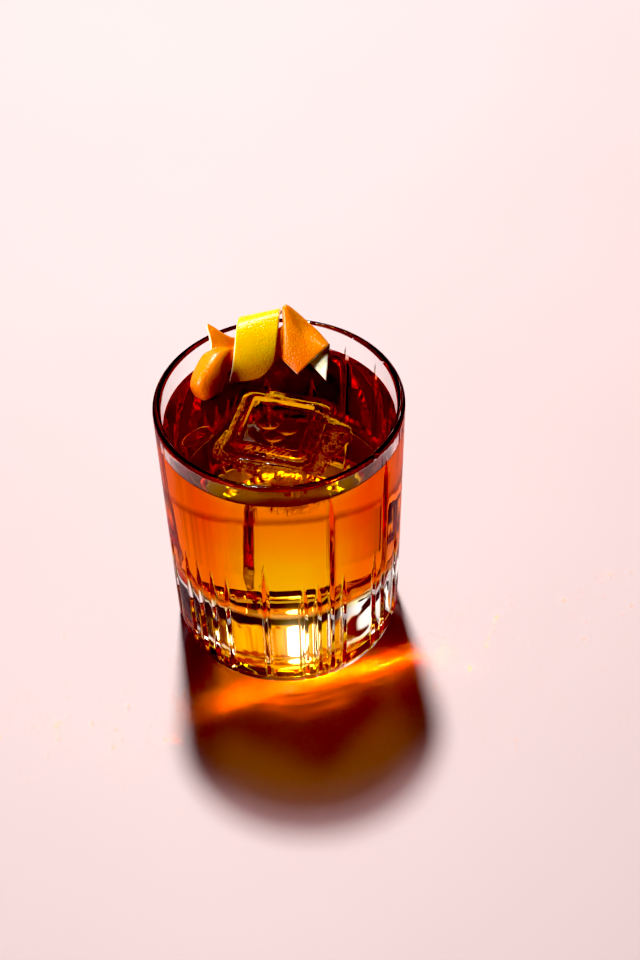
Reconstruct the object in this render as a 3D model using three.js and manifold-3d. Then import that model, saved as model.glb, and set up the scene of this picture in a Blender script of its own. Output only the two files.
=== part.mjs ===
// An old fashioned: a heavy-based cut tumbler, the drink, a stepped ice block whose top breaks
// the surface, a small ice chip, and an orange peel that passes through a curled lemon peel.
// Millimetres, +Z up. The origin is the centre of the foot, and -Y is the front.
import * as THREE from 'three';
import { mergeVertices } from 'three/addons/utils/BufferGeometryUtils.js';
import Module from 'manifold-3d';

const wasm = await Module();
wasm.setup();

// Tumbler
const RIM_RADIUS = 41.0;
const HEIGHT = 98.6;
const HEEL_HEIGHT = 6.0;
const HEEL_RADIUS = 39.3;
const FOOT_RADIUS = 37.9;
const HEEL_ROUND = 0.9;
const PUNT_RADIUS = 30.0;
const PUNT_SLOPE = 3.0;
const PUNT_DEPTH = 0.9;
const FLOOR = 30.0;
const FLOOR_DISH = 0.7;
const FLOOR_FILLET = 3.6;
const INNER_RADIUS_LOW = 36.3;
const INNER_RADIUS_TOP = 38.4;
const RIM_ROUND = 1.3;
const GLASS_SIDES = 96;

// Mitre cuts in the tumbler's wall, given from the front, plus to the right, in degrees
const CUT_HALF_WIDTH = 1.15;
const CUT_DEPTH = 0.85;
const CUT_OVERRUN = 2.0;
const CUT_RUNOUT = 9.0;
const SHORT_CUT_TOP = 52.0;
const MIDDLE_CUT_TOP = 61.0;
const LONG_CUT_TOP = 93.0;
const MIDDLE_CUTS = [-9.0, 164.0, 186.0];
const LONG_CUTS = [21.1, 55.8, 124.5, 145.0];
const CUT_GROUPS = [
  { middle: -72.0, cuts: 1, step: 0 },
  { middle: -41.5, cuts: 4, step: 8.6 },
  { middle: -9.0, cuts: 1, step: 0 },
  { middle: 19.0, cuts: 4, step: 6.7 },
  { middle: 52.0, cuts: 2, step: 7.6 },
  { middle: 69.5, cuts: 1, step: 0 },
  { middle: 92.0, cuts: 3, step: 7.2 },
  { middle: 120.9, cuts: 2, step: 7.2 },
  { middle: 145.0, cuts: 1, step: 0 },
  { middle: 164.0, cuts: 1, step: 0 },
  { middle: 186.0, cuts: 1, step: 0 },
  { middle: 212.0, cuts: 4, step: 7.6 },
  { middle: 244.0, cuts: 1, step: 0 },
  { middle: 264.0, cuts: 2, step: 7.6 },
];

// Drink
const LEVEL = 88.4;
const GAP = 0.32;
const CHIP_GAP = 0.5;
const DRINK_SIDES = 72;

// Ice: a large block just under the surface, and the turned tier on it that stands proud
const BLOCK = { side: 36.0, corner: 5.0, height: 34.0, bevel: 4.4, centre: [0.9, -4.5], turn: -35.0 };
const BLOCK_SUNK = 2.8;
const TIER = { side: 30.0, corner: 3.2, height: 9.0, bevel: 2.4, centre: [-1.2, -2.2], turn: -16.5 };
const TIER_PROUD = 2.0;
const DISH_SIDE = 22.0;
const DISH_BEVEL = 1.2;
const DISH_DEPTH = 1.3;
const HOLLOWS = [
  { at: [-2.6, 1.6], radii: [4.6, 3.9, 2.3] },
  { at: [2.9, 0.4], radii: [4.4, 3.7, 2.1] },
  { at: [0.2, -3.4], radii: [3.6, 3.4, 2.4] },
];
const CHIP_CENTRE = [-26.6, -4.4];
const CHIP_RADII = [6.4, 3.2, 2.7];
const CHIP_TURN = 38.0;
const CHIP_DROP = 1.9;
const CHIP_FLAT = 0.55;

// Peel
const PEEL_THICKNESS = 1.4;
const BAND_STEPS = { along: 22, across: 10 };
const ORANGE_STEPS = { along: 26, across: 15 };

// A closed geometry with shared vertices becomes a solid that can be cut and joined.
function solidOf(geometry) {
  const bare = geometry.clone();
  bare.deleteAttribute('normal');
  bare.deleteAttribute('uv');
  const merged = mergeVertices(bare, 1e-5);
  return new wasm.Manifold(new wasm.Mesh({
    numProp: 3,
    vertProperties: new Float32Array(merged.attributes.position.array),
    triVerts: new Uint32Array(merged.index.array),
  }));
}

function geometryOf(solid) {
  const mesh = solid.getMesh();
  const geometry = new THREE.BufferGeometry();
  geometry.setAttribute('position', new THREE.BufferAttribute(mesh.vertProperties, 3));
  geometry.setIndex(new THREE.BufferAttribute(mesh.triVerts, 1));
  geometry.computeVertexNormals();
  return geometry;
}

function meshOf(name, geometry, material) {
  const mesh = new THREE.Mesh(geometry, material);
  mesh.name = name;
  return mesh;
}

// Points [radius, height] turned about Z. The lathe turns about Y, so the result is tipped up.
function turned(points, sides) {
  const geometry = new THREE.LatheGeometry(points.map(([r, z]) => new THREE.Vector2(r, z)), sides);
  return geometry.rotateX(Math.PI / 2);
}

// An arc of a profile, from one angle to another in degrees, 0 pointing outwards and 90 up.
function arc(r, z, radius, from, to, steps) {
  const points = [];
  for (let i = 0; i <= steps; i += 1) {
    const angle = THREE.MathUtils.degToRad(from + (to - from) * i / steps);
    points.push([r + radius * Math.cos(angle), z + radius * Math.sin(angle)]);
  }
  return points;
}

function outerRadius(z) {
  if (z < HEEL_HEIGHT) {
    return THREE.MathUtils.lerp(FOOT_RADIUS, HEEL_RADIUS, Math.max(z, 0) / HEEL_HEIGHT);
  }
  return THREE.MathUtils.mapLinear(z, HEEL_HEIGHT, HEIGHT, HEEL_RADIUS, RIM_RADIUS);
}

function innerRadius(z) {
  return THREE.MathUtils.mapLinear(z, FLOOR, HEIGHT, INNER_RADIUS_LOW, INNER_RADIUS_TOP);
}

// The inner profile from the middle of the floor up the wall, drawn in by a clearance.
function cavity(top, clearance) {
  const corner = innerRadius(FLOOR + FLOOR_FILLET) - FLOOR_FILLET;
  return [
    [0, FLOOR - FLOOR_DISH + clearance],
    [corner * 0.6, FLOOR - FLOOR_DISH * 0.55 + clearance],
    ...arc(corner, FLOOR + FLOOR_FILLET, FLOOR_FILLET - clearance, -90, 0, 4),
    [innerRadius(top) - clearance, top],
  ];
}

// A wedge that cuts one mitre groove. Its edge follows the wall at the cut's depth, and comes
// out of the wall over the run-out at the top, as a wheel does.
function mitre(degrees, top) {
  const reach = 4.0;
  const side = (reach + CUT_DEPTH) * CUT_HALF_WIDTH / CUT_DEPTH;
  const heelSlope = (HEEL_RADIUS - FOOT_RADIUS) / HEEL_HEIGHT;
  const stations = [
    [-CUT_OVERRUN, FOOT_RADIUS - CUT_DEPTH - CUT_OVERRUN * heelSlope],
    [HEEL_HEIGHT, HEEL_RADIUS - CUT_DEPTH],
    [top - CUT_RUNOUT, outerRadius(top - CUT_RUNOUT) - CUT_DEPTH],
    [top + CUT_RUNOUT * 0.25, outerRadius(top) + CUT_DEPTH * 0.25],
  ];
  const positions = [];
  for (const [z, edge] of stations) {
    const back = edge + reach + CUT_DEPTH;
    positions.push(0, -edge, z, side, -back, z, -side, -back, z);
  }
  const faces = [0, 1, 2];
  for (let i = 0; i < stations.length - 1; i += 1) {
    const a = 3 * i;
    const b = a + 3;
    for (const [p, q] of [[0, 2], [2, 1], [1, 0]]) {
      faces.push(a + p, a + q, b + q, a + p, b + q, b + p);
    }
  }
  const last = 3 * (stations.length - 1);
  faces.push(last, last + 2, last + 1);
  const geometry = new THREE.BufferGeometry();
  geometry.setAttribute('position', new THREE.Float32BufferAttribute(positions, 3));
  geometry.setIndex(faces);
  return geometry.rotateZ(THREE.MathUtils.degToRad(degrees));
}

function cutAngles() {
  const angles = [];
  for (const { middle, cuts, step } of CUT_GROUPS) {
    for (let i = 0; i < cuts; i += 1) {
      angles.push(middle + (i - (cuts - 1) / 2) * step);
    }
  }
  return angles;
}

function cutTop(angle) {
  const near = (middle) => Math.abs(middle - angle) < 1.5;
  if (LONG_CUTS.some(near)) {
    return LONG_CUT_TOP;
  }
  return MIDDLE_CUTS.some(near) ? MIDDLE_CUT_TOP : SHORT_CUT_TOP;
}

function tumbler() {
  const rimMiddle = (RIM_RADIUS + INNER_RADIUS_TOP) / 2;
  const profile = [
    [0, PUNT_DEPTH],
    [PUNT_RADIUS - PUNT_SLOPE, PUNT_DEPTH],
    [PUNT_RADIUS, 0],
    ...arc(FOOT_RADIUS - HEEL_ROUND, HEEL_ROUND, HEEL_ROUND, -90, -10, 3),
    [HEEL_RADIUS, HEEL_HEIGHT],
    ...arc(rimMiddle, HEIGHT - RIM_ROUND, RIM_ROUND, 0, 180, 6),
    ...cavity(HEIGHT - 2 * RIM_ROUND, 0).reverse(),
  ];
  let solid = solidOf(turned(profile, GLASS_SIDES));
  for (const angle of cutAngles()) {
    solid = solid.subtract(solidOf(mitre(angle, cutTop(angle))));
  }
  return geometryOf(solid);
}

// A rounded square block with bevelled edges, from z = 0 up, grown on all sides by a clearance.
function block({ side, corner, height, bevel }, clearance) {
  const half = side / 2 - bevel;
  const round = Math.max(corner - bevel, 0.2);
  const shape = new THREE.Shape();
  shape.moveTo(-half + round, -half);
  shape.lineTo(half - round, -half);
  shape.absarc(half - round, -half + round, round, -Math.PI / 2, 0);
  shape.absarc(half - round, half - round, round, 0, Math.PI / 2);
  shape.absarc(-half + round, half - round, round, Math.PI / 2, Math.PI);
  shape.absarc(-half + round, -half + round, round, Math.PI, 1.5 * Math.PI);
  const grown = bevel + clearance;
  const geometry = new THREE.ExtrudeGeometry(shape, {
    depth: height - 2 * bevel,
    bevelThickness: grown,
    bevelSize: grown,
    bevelSegments: 3,
    curveSegments: 4,
  });
  return geometry.translate(0, 0, bevel);
}

function placed(geometry, { centre, turn }, z) {
  geometry.rotateZ(THREE.MathUtils.degToRad(turn));
  return geometry.translate(centre[0], centre[1], z);
}

// The block and its tier joined, grown by a clearance.
function iceBody(clearance) {
  const low = placed(block(BLOCK, clearance), BLOCK, LEVEL - BLOCK_SUNK - BLOCK.height);
  const high = placed(block(TIER, clearance), TIER, LEVEL + TIER_PROUD - TIER.height);
  return solidOf(low).add(solidOf(high));
}

// The tier has a moulded square dish in its top, with rounded hollows melted into it.
function iceCube() {
  const floor = LEVEL + TIER_PROUD - DISH_DEPTH;
  const dish = block({
    side: DISH_SIDE, corner: DISH_BEVEL * 1.5, height: 3 * DISH_BEVEL + DISH_DEPTH, bevel: DISH_BEVEL,
  }, 0);
  let solid = iceBody(0).subtract(solidOf(placed(dish, TIER, floor)));
  for (const { at, radii } of HOLLOWS) {
    const ball = new THREE.SphereGeometry(1, 18, 12).rotateX(Math.PI / 2);
    ball.scale(...radii).translate(at[0], at[1], 0);
    solid = solid.subtract(solidOf(placed(ball, TIER, floor)));
  }
  return geometryOf(solid);
}

// A melted chip: a flattened pebble with two broken flats, lying in the surface.
function chipBody(clearance) {
  const pebble = new THREE.SphereGeometry(1, 20, 12).rotateX(Math.PI / 2);
  const place = pebble.attributes.position;
  for (let i = 0; i < place.count; i += 1) {
    const x = Math.min(place.getX(i), 1 - CHIP_FLAT * 0.35);
    const z = Math.max(place.getZ(i), -CHIP_FLAT);
    place.setXYZ(
      i,
      x * CHIP_RADII[0] + Math.sign(x) * clearance * Math.abs(x),
      place.getY(i) * (CHIP_RADII[1] + clearance),
      z * (CHIP_RADII[2] + clearance),
    );
  }
  pebble.rotateZ(THREE.MathUtils.degToRad(CHIP_TURN));
  return pebble.translate(CHIP_CENTRE[0], CHIP_CENTRE[1], LEVEL - CHIP_DROP);
}

// The drink fills the tumbler to its level, and is cut round the ice.
function drink() {
  const profile = cavity(LEVEL, GAP);
  profile.push([0, LEVEL]);
  const solid = solidOf(turned(profile, DRINK_SIDES));
  return geometryOf(solid.subtract(iceBody(GAP)).subtract(solidOf(chipBody(CHIP_GAP))));
}

// A thin wavy solid. Rails run along the sheet, and a smooth curve through their points at
// each step gives its cross-section. Both faces are split into triangles alike.
function sheet(rails, steps, thickness) {
  const curves = rails.map((points) => new THREE.CatmullRomCurve3(
    points.map((p) => new THREE.Vector3(...p)), false, 'centripetal'));
  const rows = [];
  for (let i = 0; i <= steps.along; i += 1) {
    const section = new THREE.CatmullRomCurve3(
      curves.map((curve) => curve.getPoint(i / steps.along)), false, 'centripetal');
    const row = [];
    for (let j = 0; j <= steps.across; j += 1) {
      row.push(section.getPoint(j / steps.across));
    }
    rows.push(row);
  }
  const wide = steps.across + 1;
  const count = rows.length * wide;
  const positions = new Float32Array(count * 6);
  const at = (i, j) => rows[THREE.MathUtils.clamp(i, 0, steps.along)][
    THREE.MathUtils.clamp(j, 0, steps.across)];
  for (let i = 0; i < rows.length; i += 1) {
    for (let j = 0; j < wide; j += 1) {
      const along = at(i + 1, j).clone().sub(at(i - 1, j));
      const across = at(i, j + 1).clone().sub(at(i, j - 1));
      const normal = along.cross(across).normalize().multiplyScalar(thickness / 2);
      const front = rows[i][j].clone().add(normal);
      const back = rows[i][j].clone().sub(normal);
      front.toArray(positions, 3 * (i * wide + j));
      back.toArray(positions, 3 * (count + i * wide + j));
    }
  }
  const faces = [];
  const quad = (a, b, c, d) => faces.push(a, b, c, a, c, d);
  for (let i = 0; i < steps.along; i += 1) {
    for (let j = 0; j < steps.across; j += 1) {
      const a = i * wide + j;
      quad(a, a + wide, a + wide + 1, a + 1);
      faces.push(count + a, count + a + wide + 1, count + a + wide);
      faces.push(count + a, count + a + 1, count + a + wide + 1);
    }
    const first = i * wide;
    const last = first + steps.across;
    quad(first, first + count, first + count + wide, first + wide);
    quad(last, last + wide, last + count + wide, last + count);
  }
  for (let j = 0; j < steps.across; j += 1) {
    const low = j;
    const high = steps.along * wide + j;
    quad(low, low + 1, low + count + 1, low + count);
    quad(high, high + count, high + count + 1, high + 1);
  }
  const geometry = new THREE.BufferGeometry();
  geometry.setAttribute('position', new THREE.BufferAttribute(positions, 3));
  geometry.setIndex(faces);
  geometry.computeVertexNormals();
  return geometry;
}

// Lemon peel: an arch from the drink's surface at the front, over the orange peel, to the rim.
// Its left and right edges, and its lower edge, whose right corner is rounded off.
const LEMON_LEFT = [
  [-16.9, 18.4, 89.6], [-16.0, 19.6, 93.0], [-14.9, 24.2, 98.0], [-14.2, 29.2, 101.8],
  [-13.6, 33.4, 102.8], [-13.2, 37.0, 101.6], [-13.0, 39.0, 99.9],
];
const LEMON_RIGHT = [
  [-1.4, 24.3, 93.6], [-0.9, 25.6, 96.5], [-0.3, 28.0, 99.8], [0.3, 31.2, 102.8],
  [0.8, 35.2, 104.8], [1.2, 38.2, 104.0], [1.4, 40.0, 101.6],
];
const LEMON_FOOT = [[-16.9, 18.4, 89.6], [-11.6, 18.8, 89.5], [-6.0, 20.3, 89.7], [-1.4, 24.3, 93.6]];

function lemonBand() {
  const rails = LEMON_FOOT.map((foot, i) => LEMON_LEFT.map((left, j) => {
    const across = new THREE.Vector3(...left).lerp(
      new THREE.Vector3(...LEMON_RIGHT[j]), i / (LEMON_FOOT.length - 1));
    return j === 0 ? foot : across.toArray();
  }));
  return sheet(rails, BAND_STEPS, PEEL_THICKNESS);
}

// Orange peel: each rail runs from the lobe on the left, through the band, to the kite on the
// right. They are the lower front edge, the belly, the ridge, the valley behind it, the back
// leaf with its spike, and the back edge with its tail.
const ORANGE_RAILS = [
  [
    [-27.8, 11.4, 90.4], [-24.3, 9.4, 90.2], [-19.7, 12.8, 90.4], [-17.7, 21.0, 91.6],
    [-8.5, 24.4, 93.4], [0.6, 26.0, 93.2], [2.2, 24.6, 92.4], [4.2, 22.6, 91.4], [6.1, 20.7, 90.4],
  ],
  [
    [-29.2, 14.4, 92.6], [-25.6, 13.1, 96.0], [-20.2, 16.8, 96.6], [-16.9, 23.6, 94.8],
    [-8.5, 26.8, 95.6], [1.4, 28.6, 97.2], [2.7, 28.2, 98.6], [6.4, 25.4, 95.8], [9.4, 22.5, 92.8],
  ],
  [
    [-25.5, 22.8, 97.4], [-21.9, 21.0, 99.2], [-18.0, 23.6, 98.8], [-15.6, 27.4, 96.4],
    [-8.5, 29.4, 97.6], [1.8, 31.2, 99.8], [2.7, 32.6, 103.4], [7.8, 28.7, 99.2], [12.9, 24.4, 95.2],
  ],
  [
    [-22.6, 24.9, 99.0], [-20.4, 26.2, 98.8], [-17.8, 26.8, 97.6], [-14.8, 29.2, 95.8],
    [-8.5, 31.2, 97.8], [2.2, 33.8, 100.8], [2.6, 36.8, 107.0], [8.4, 30.7, 99.9], [15.9, 26.0, 97.0],
  ],
  [
    [-23.8, 32.3, 103.4], [-21.3, 31.3, 102.2], [-18.9, 30.6, 100.4], [-14.4, 31.8, 97.0],
    [-8.5, 33.2, 97.2], [3.0, 34.8, 98.8], [5.4, 37.4, 101.8], [12.2, 33.2, 99.0], [17.0, 28.4, 95.6],
  ],
  [
    [-22.0, 30.4, 99.2], [-19.0, 30.2, 96.8], [-16.6, 30.4, 95.0], [-13.6, 31.0, 93.6],
    [-8.5, 32.0, 93.4], [3.4, 32.4, 94.0], [6.2, 31.4, 93.0], [10.0, 26.8, 90.6], [15.6, 17.8, 89.9],
  ],
];

function orangePeel() {
  return sheet(ORANGE_RAILS, ORANGE_STEPS, PEEL_THICKNESS);
}

const clearGlass = new THREE.MeshStandardMaterial({
  color: 0xf4f7f8, roughness: 0.02, metalness: 0, transparent: true, opacity: 0.3 });
const amberDrink = new THREE.MeshStandardMaterial({
  color: 0xd9620c, roughness: 0.05, metalness: 0, transparent: true, opacity: 0.85 });
const clearIce = new THREE.MeshStandardMaterial({
  color: 0xeef2f2, roughness: 0.08, metalness: 0, transparent: true, opacity: 0.5 });
const lemonRind = new THREE.MeshStandardMaterial({ color: 0xf6cf12, roughness: 0.35, metalness: 0 });
const orangeRind = new THREE.MeshStandardMaterial({ color: 0xf28a0c, roughness: 0.45, metalness: 0 });

const cocktail = new THREE.Group();
cocktail.add(meshOf('glass', tumbler(), clearGlass));
cocktail.add(meshOf('drink', drink(), amberDrink));
cocktail.add(meshOf('ice_cube', iceCube(), clearIce));
cocktail.add(meshOf('ice_chip', geometryOf(solidOf(chipBody(0))), clearIce.clone()));
cocktail.add(meshOf('lemon_peel', lemonBand(), lemonRind));
cocktail.add(meshOf('orange_peel', orangePeel(), orangeRind));

export default cocktail;
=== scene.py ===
"""An old fashioned in a heavy cut tumbler, with ice, a lemon peel and an orange peel.

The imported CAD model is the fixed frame. Every CAD solid is replaced by a finely meshed
piece of the same form, built here with numpy.
Lengths are millimetres until a mesh is made, when they turn to metres. +Z is up, the origin
is the centre of the foot, and -Y is the front.
"""

import logging
import math
from collections.abc import Callable
from dataclasses import dataclass, field
from enum import Enum

import bpy
import numpy as np
from mathutils import Matrix, Vector


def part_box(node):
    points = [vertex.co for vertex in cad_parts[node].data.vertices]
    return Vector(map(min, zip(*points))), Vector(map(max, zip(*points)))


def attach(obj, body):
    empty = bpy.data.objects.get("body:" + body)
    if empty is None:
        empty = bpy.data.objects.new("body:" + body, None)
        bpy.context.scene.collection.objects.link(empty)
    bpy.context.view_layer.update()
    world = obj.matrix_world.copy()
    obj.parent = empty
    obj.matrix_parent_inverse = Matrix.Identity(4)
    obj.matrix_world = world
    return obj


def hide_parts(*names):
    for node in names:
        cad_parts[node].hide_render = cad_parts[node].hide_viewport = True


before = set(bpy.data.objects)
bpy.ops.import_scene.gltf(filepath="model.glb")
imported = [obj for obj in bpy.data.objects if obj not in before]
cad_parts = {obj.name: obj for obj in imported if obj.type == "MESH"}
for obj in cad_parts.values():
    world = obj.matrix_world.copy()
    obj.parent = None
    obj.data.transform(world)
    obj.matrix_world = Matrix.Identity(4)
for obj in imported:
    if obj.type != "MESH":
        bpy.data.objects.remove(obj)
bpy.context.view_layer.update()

LOG = logging.getLogger("cocktail")
MM = 0.001
BODY = "root"
Array = np.ndarray
Piece = bpy.types.Object
Socket = bpy.types.NodeSocket
Inputs = dict[str | int, object] | None
Colour = tuple[float, ...] | Socket
Lamp = tuple[str, tuple[float, float, float], float, float, str]


def linear(colour: str) -> tuple[float, float, float, float]:
    """Turns an sRGB hex colour into linear light.

    Args:
        colour: Six hex digits, such as "F6CF12".

    Returns:
        Red, green and blue from 0 to 1, and an alpha of 1.
    """
    parts = [int(colour[i : i + 2], 16) / 255.0 for i in (0, 2, 4)]
    light = [p / 12.92 if p <= 0.04045 else ((p + 0.055) / 1.055) ** 2.4 for p in parts]
    return (light[0], light[1], light[2], 1.0)


def ease(low: float, high: float, value: Array) -> Array:
    """Rises smoothly from 0 at low to 1 at high, as 3t^2 - 2t^3."""
    t = np.clip((value - low) / (high - low), 0.0, 1.0)
    return t * t * (3.0 - 2.0 * t)


def soft_max(a: Array, b: Array, width: float) -> Array:
    """Gives the larger of two fields, with the corner between them rounded over a width."""
    return 0.5 * (a + b + np.sqrt((a - b) ** 2 + width**2))


def turn(points: Array, degrees: float, centre: tuple[float, float]) -> Array:
    """Turns points about a vertical line through the origin, then moves them to a centre."""
    angle = math.radians(degrees)
    cos, sin = math.cos(angle), math.sin(angle)
    x = points[..., 0] * cos - points[..., 1] * sin + centre[0]
    y = points[..., 0] * sin + points[..., 1] * cos + centre[1]
    return np.stack([x, y, points[..., 2]], axis=-1)


def unturn(
    x: Array, y: Array, degrees: float, centre: tuple[float, float],
) -> tuple[Array, Array]:
    """Gives the coordinates on a turned block of points in the tumbler's frame."""
    angle = math.radians(degrees)
    cos, sin = math.cos(angle), math.sin(angle)
    dx, dy = x - centre[0], y - centre[1]
    return dx * cos + dy * sin, dy * cos - dx * sin


def inset(x: Array, y: Array, half: float, corner: float) -> Array:
    """Gives how far a point lies inside a rounded square, negative outside.

    The distance to a square shrunk by its corner radius, taken from that radius.
    """
    qx, qy = np.abs(x) - (half - corner), np.abs(y) - (half - corner)
    outside = np.hypot(np.maximum(qx, 0.0), np.maximum(qy, 0.0))
    return corner - outside - np.minimum(np.maximum(qx, qy), 0.0)


def outline(angles: Array, half: float, corner: float) -> Array:
    """Gives the radius of a rounded square in each direction.

    The ray meets a side at half / max(|cos|, |sin|), or else the corner's circle, where
    the nearer root of the quadratic is taken.
    """
    c, s = np.abs(np.cos(angles)), np.abs(np.sin(angles))
    side = half / np.maximum(c, s)
    middle = half - corner
    along = middle * (c + s)
    root = np.sqrt(np.maximum(along**2 - 2.0 * middle**2 + corner**2, 0.0))
    in_corner = side * np.minimum(c, s) > middle
    return np.where(in_corner, along + root, side)


def add_mesh(name: str, points: Array, quads: Array, triangles: Array, sharp: float) -> Piece:
    """Puts arrays of points and faces into a mesh object.

    Args:
        name: The piece's name.
        points: Places in millimetres, one row a point.
        quads: Four point numbers a row.
        triangles: Three point numbers a row.
        sharp: Edges whose faces turn by more than this many degrees stay sharp.

    Returns:
        The new object, linked to the scene.
    """
    corners = points[np.concatenate([quads[:, :3], triangles[:, :3]])]
    volume = np.einsum("ij,ij->", corners[:, 0], np.cross(corners[:, 1], corners[:, 2]))
    if len(quads):
        other = points[quads[:, [0, 2, 3]]]
        volume += np.einsum("ij,ij->", other[:, 0], np.cross(other[:, 1], other[:, 2]))
    if volume < 0.0:
        quads, triangles = quads[:, ::-1], triangles[:, ::-1]
    loops = np.concatenate([quads.ravel(), triangles.ravel()]).astype(np.int32)
    starts = np.concatenate([
        np.arange(len(quads)) * 4,
        len(quads) * 4 + np.arange(len(triangles)) * 3,
    ]).astype(np.int32)
    mesh = bpy.data.meshes.new(name)
    mesh.vertices.add(len(points))
    mesh.vertices.foreach_set("co", (points * MM).astype(np.float32).ravel())
    mesh.loops.add(len(loops))
    mesh.loops.foreach_set("vertex_index", loops)
    mesh.polygons.add(len(starts))
    mesh.polygons.foreach_set("loop_start", starts)
    mesh.update(calc_edges=True)
    mesh.validate()
    mesh.shade_smooth()
    mesh.set_sharp_from_angle(angle=math.radians(sharp))
    piece = bpy.data.objects.new(name, mesh)
    bpy.context.scene.collection.objects.link(piece)
    return piece


def ringed(name: str, rings: Array, sharp: float) -> Piece:
    """Joins rings of points into a closed surface with a pole at each end.

    Args:
        name: The piece's name.
        rings: Points as rings x columns x 3. The first and the last ring are poles, and
            the mean of each gives its point.
        sharp: The angle in degrees past which an edge stays sharp.

    Returns:
        The new object.
    """
    body = rings[1:-1]
    rows, columns = body.shape[:2]
    points = np.concatenate([body.reshape(-1, 3), rings[[0, -1]].mean(axis=1)])
    index = np.arange(rows * columns).reshape(rows, columns)
    after = np.roll(index, -1, axis=1)
    quads = np.stack([index[:-1], after[:-1], after[1:], index[1:]], axis=-1).reshape(-1, 4)
    first, last = rows * columns, rows * columns + 1
    start = np.stack([np.full(columns, first), after[0], index[0]], axis=-1)
    end = np.stack([np.full(columns, last), index[-1], after[-1]], axis=-1)
    return add_mesh(name, points, quads, np.concatenate([start, end]), sharp)


def combine(piece: Piece, tool: Piece, operation: str, sharp: float) -> None:
    """Joins a tool's closed form to a piece, or takes it out, and removes the tool.

    Args:
        piece: The piece, whose mesh becomes the result.
        tool: The other closed form.
        operation: "UNION" or "DIFFERENCE".
        sharp: The angle in degrees past which an edge stays sharp.
    """
    modifier = piece.modifiers.new("combine", "BOOLEAN")
    modifier.operation = operation
    modifier.solver = "EXACT"
    modifier.object = tool
    graph = bpy.context.evaluated_depsgraph_get()
    result = bpy.data.meshes.new_from_object(piece.evaluated_get(graph))
    piece.modifiers.clear()
    old = piece.data
    piece.data = result
    bpy.data.meshes.remove(old)
    bpy.data.objects.remove(tool)
    result.name = piece.name
    result.shade_smooth()
    result.set_sharp_from_angle(angle=math.radians(sharp))


def paint(piece: Piece, layer: str, rule: Callable[[Array, Array, Array], Array]) -> None:
    """Writes a point attribute that a finish reads.

    "wet" is 1 where the surface lies against another clear body, 2 where that body is so
    much alike that no line shows between them, and otherwise 0. "frost" is 1 where ice is
    cracked, cracks whose colour is painted orange light. "rind" is 1 on a peel's skin and 0 on its
    pith.

    Args:
        piece: The piece.
        layer: The attribute's name.
        rule: Gives the value from a point's x, y and z in millimetres.
    """
    mesh = piece.data
    places = np.empty(len(mesh.vertices) * 3, np.float32)
    mesh.vertices.foreach_get("co", places)
    values = np.asarray(rule(*places.reshape(-1, 3).T / MM), np.float32)
    mesh.attributes.new(layer, "FLOAT", "POINT").data.foreach_set("value", values)


class Graph:
    """A node tree, with one method that adds any node and short ones for the common kinds."""

    def __init__(self, tree: bpy.types.NodeTree) -> None:
        """Takes a node tree and empties it."""
        self.tree = tree
        tree.nodes.clear()

    def add(self, kind: str, inputs: Inputs = None, settings: Inputs = None) -> bpy.types.Node:
        """Adds one node with its settings and links.

        Args:
            kind: The node's type name.
            inputs: A value, or a socket to link from, for each input by name or number.
            settings: Properties of the node.

        Returns:
            The new node.
        """
        node = self.tree.nodes.new(kind)
        for key, value in (settings or {}).items():
            setattr(node, key, value)
        for key, value in (inputs or {}).items():
            if isinstance(value, Socket):
                self.tree.links.new(value, node.inputs[key])
            else:
                node.inputs[key].default_value = value
        return node

    def read(
        self, kind: str, output: str | int = 0, inputs: Inputs = None, settings: Inputs = None,
    ) -> Socket:
        """Adds one node and gives one of its outputs."""
        return self.add(kind, inputs, settings).outputs[output]

    def ramp(
        self, value: Socket, low: float, high: float, start: float = 0.0, end: float = 1.0,
        curve: str = "SMOOTHSTEP",
    ) -> Socket:
        """Turns a value into a share that goes from start at low to end at high."""
        return self.read(
            "ShaderNodeMapRange", 0, {0: value, 1: low, 2: high, 3: start, 4: end},
            {"interpolation_type": curve},
        )

    def maths(self, operation: str, *values: Socket | float, clamp: bool = False) -> Socket:
        """Applies one operation to numbers."""
        settings = {"operation": operation, "use_clamp": clamp}
        return self.read("ShaderNodeMath", 0, dict(enumerate(values)), settings)

    def product(self, first: Socket, *others: Socket) -> Socket:
        """Multiplies shares from 0 to 1."""
        for other in others:
            first = self.maths("MULTIPLY", first, other)
        return first

    def blend(self, share: Socket, first: Colour, second: Colour) -> Socket:
        """Mixes two colours."""
        return self.read("ShaderNodeMix", 2, {0: share, 6: first, 7: second}, {"data_type": "RGBA"})

    def mix(self, share: Socket, first: Socket, second: Socket) -> Socket:
        """Mixes two shaders."""
        return self.read("ShaderNodeMixShader", 0, {0: share, 1: first, 2: second})

    def noise(self, place: Socket, scale: float, detail: float, distortion: float = 0.0) -> Socket:
        """Gives a noise from 0 to 1."""
        inputs = {"Vector": place, "Scale": scale, "Detail": detail, "Distortion": distortion}
        return self.read("ShaderNodeTexNoise", "Fac", inputs)

    def attribute(self, layer: str) -> Socket:
        """Reads a point attribute."""
        return self.read("ShaderNodeAttribute", "Fac", None, {"attribute_name": layer})


def per(size_mm: float) -> float:
    """Gives the scale of a pattern whose waves have this size."""
    return 1.0 / (size_mm * MM)


def directions(count: int) -> Array:
    """Gives angles that go evenly once round."""
    return np.linspace(0.0, 2.0 * math.pi, count, endpoint=False)


def new_material(name: str) -> tuple[bpy.types.Material, Graph]:
    """Makes an empty node material."""
    material = bpy.data.materials.new(name)
    material.use_nodes = True
    return material, Graph(material.node_tree)


# Edges whose faces turn by more degrees than this stay sharp, for each kind of piece.
SHARP_GLASS, SHARP_ICE, SHARP_CHIP, SHARP_DRINK, SHARP_PEEL = 24.0, 34.0, 40.0, 30.0, 60.0
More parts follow.
